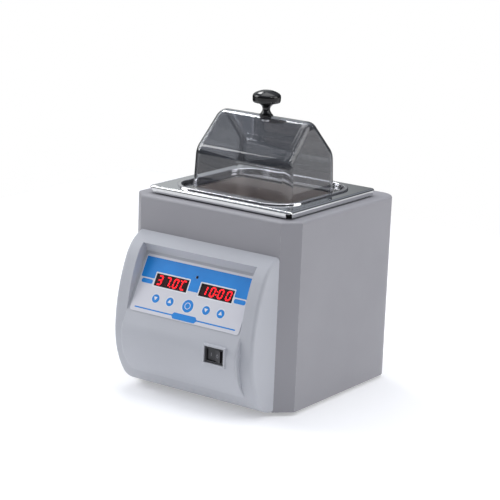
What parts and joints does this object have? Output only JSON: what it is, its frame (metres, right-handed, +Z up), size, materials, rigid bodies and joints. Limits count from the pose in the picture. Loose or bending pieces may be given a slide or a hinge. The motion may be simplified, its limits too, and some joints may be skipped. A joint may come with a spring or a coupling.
{
  "type": "water bath",
  "caption": "Small benchtop digital water bath: painted case, stainless tank with perforated shelf, sloping control face with displays and keys, clear gabled lid with knob.",
  "frame": {"origin": "centre of the outline, on the surface that the feet stand on", "axes": "+Z up, +X to the right when facing the controls, -Y towards the user (controls at the front)"},
  "size_m": [0.2, 0.2414, 0.3003],
  "materials": {
    "case_paint": "fine textured satin grey paint",
    "base_zinc": "zinc plated sheet",
    "screw_steel": "plated steel",
    "foot_rubber": "matt black rubber",
    "seal_rubber": "matt dark silicone rubber",
    "polished_stainless": "polished stainless steel",
    "tank_stainless": "satin deep-drawn stainless steel",
    "shelf_stainless": "satin stainless sheet",
    "glass_wool": "soft glass wool",
    "silicone_heater": "reinforced silicone heater mat",
    "clear_acrylic": "clear vacuum-formed acrylic",
    "knob_black": "glossy black",
    "housing_plastic": "fine-grained light grey moulding",
    "film_grey": "satin printed polyester film",
    "key_blue": "embossed satin film key",
    "window_dark": "smoked red window",
    "display_black": "black display face",
    "black_plastic": "black moulding",
    "circuit_board": "green solder mask",
    "brass_standoff": "plated brass",
    "transformer_iron": "lacquered laminations",
    "relay_blue": "blue moulding",
    "heat_sink_aluminium": "extruded aluminium",
    "terminal_green": "green moulding",
    "ribbon_grey": "flat grey lead",
    "fuse_glass": "glass fuse"
  },
  "bodies": {
    "case": {"base_plate": "base_zinc", "base_screws": "screw_steel", "board_standoffs": "brass_standoff", "cable_connectors": "black_plastic", "capacitors": "black_plastic", "case_shell": "case_paint", "control_board": "circuit_board", "control_board_screws": "screw_steel", "control_chip": "black_plastic", "display_left": "display_black", "display_right": "display_black", "feet": "foot_rubber", "foot_nuts": "screw_steel", "foot_screws": "screw_steel", "front_housing": "housing_plastic", "heat_sink": "heat_sink_aluminium", "heater_clamp": "base_zinc", "heater_nuts": "screw_steel", "heater_pad": "silicone_heater", "heater_studs": "screw_steel", "housing_screws": "screw_steel", "inlet_pins": "brass_standoff", "inlet_screws": "screw_steel", "inlet_socket": "black_plastic", "insulation_jacket": "glass_wool", "membrane_overlay": "film_grey", "plate_seal": "seal_rubber", "power_board": "circuit_board", "power_board_screws": "screw_steel", "relay": "relay_blue", "ribbon_cable": "ribbon_grey", "sensor_nut": "screw_steel", "sensor_probe": "shelf_stainless", "standoff_screws": "screw_steel", "status_led": "window_dark", "switch_body": "black_plastic", "tact_switches": "black_plastic", "tank": "tank_stainless", "terminal_block": "terminal_green", "thermal_cutout": "black_plastic", "top_plate": "polished_stainless", "transformer": "transformer_iron", "triac": "black_plastic", "window_left": "window_dark", "window_right": "window_dark"},
    "lid": {"lid_dome": "clear_acrylic", "lid_knob": "knob_black", "knob_washer": "seal_rubber", "knob_screw": "screw_steel"},
    "shelf": {"perforated_shelf": "shelf_stainless"},
    "rocker": {"switch_rocker": "black_plastic"},
    "fuse_drawer": {"fuse_drawer": "black_plastic", "fuse_link": "fuse_glass"},
    "key_temp_down": {"key_temp_down": "key_blue"},
    "key_temp_up": {"key_temp_up": "key_blue"},
    "key_set": {"key_set": "key_blue"},
    "key_time_down": {"key_time_down": "key_blue"},
    "key_time_up": {"key_time_up": "key_blue"}
  },
  "joints": [
    {"name": "lid_lift", "type": "slide", "parent": "case", "child": "lid", "axis": [0, 0, 1], "range_m": [0, 0.15]},
    {"name": "shelf_lift", "type": "slide", "parent": "case", "child": "shelf", "axis": [0, 0, 1], "range_m": [0, 0.11]},
    {"name": "rocker_tilt", "type": "hinge", "parent": "case", "child": "rocker", "pos_m": [0.045, -0.11595, 0.064], "axis": [0, 0, 1], "range_deg": [0, 20]},
    {"name": "fuse_drawer_slide", "type": "slide", "parent": "case", "child": "fuse_drawer", "axis": [0, 1, 0], "range_m": [0, 0.018]},
    {"name": "key_temp_down_press", "type": "slide", "parent": "case", "child": "key_temp_down", "axis": [0, 0.8829, -0.4695], "range_m": [0, 0.0004], "stiffness_N_per_m": 1500},
    {"name": "key_temp_up_press", "type": "slide", "parent": "case", "child": "key_temp_up", "axis": [0, 0.8829, -0.4695], "range_m": [0, 0.0004], "stiffness_N_per_m": 1500},
    {"name": "key_set_press", "type": "slide", "parent": "case", "child": "key_set", "axis": [0, 0.8829, -0.4695], "range_m": [0, 0.0004], "stiffness_N_per_m": 1500},
    {"name": "key_time_down_press", "type": "slide", "parent": "case", "child": "key_time_down", "axis": [0, 0.8829, -0.4695], "range_m": [0, 0.0004], "stiffness_N_per_m": 1500},
    {"name": "key_time_up_press", "type": "slide", "parent": "case", "child": "key_time_up", "axis": [0, 0.8829, -0.4695], "range_m": [0, 0.0004], "stiffness_N_per_m": 1500}
  ]
}
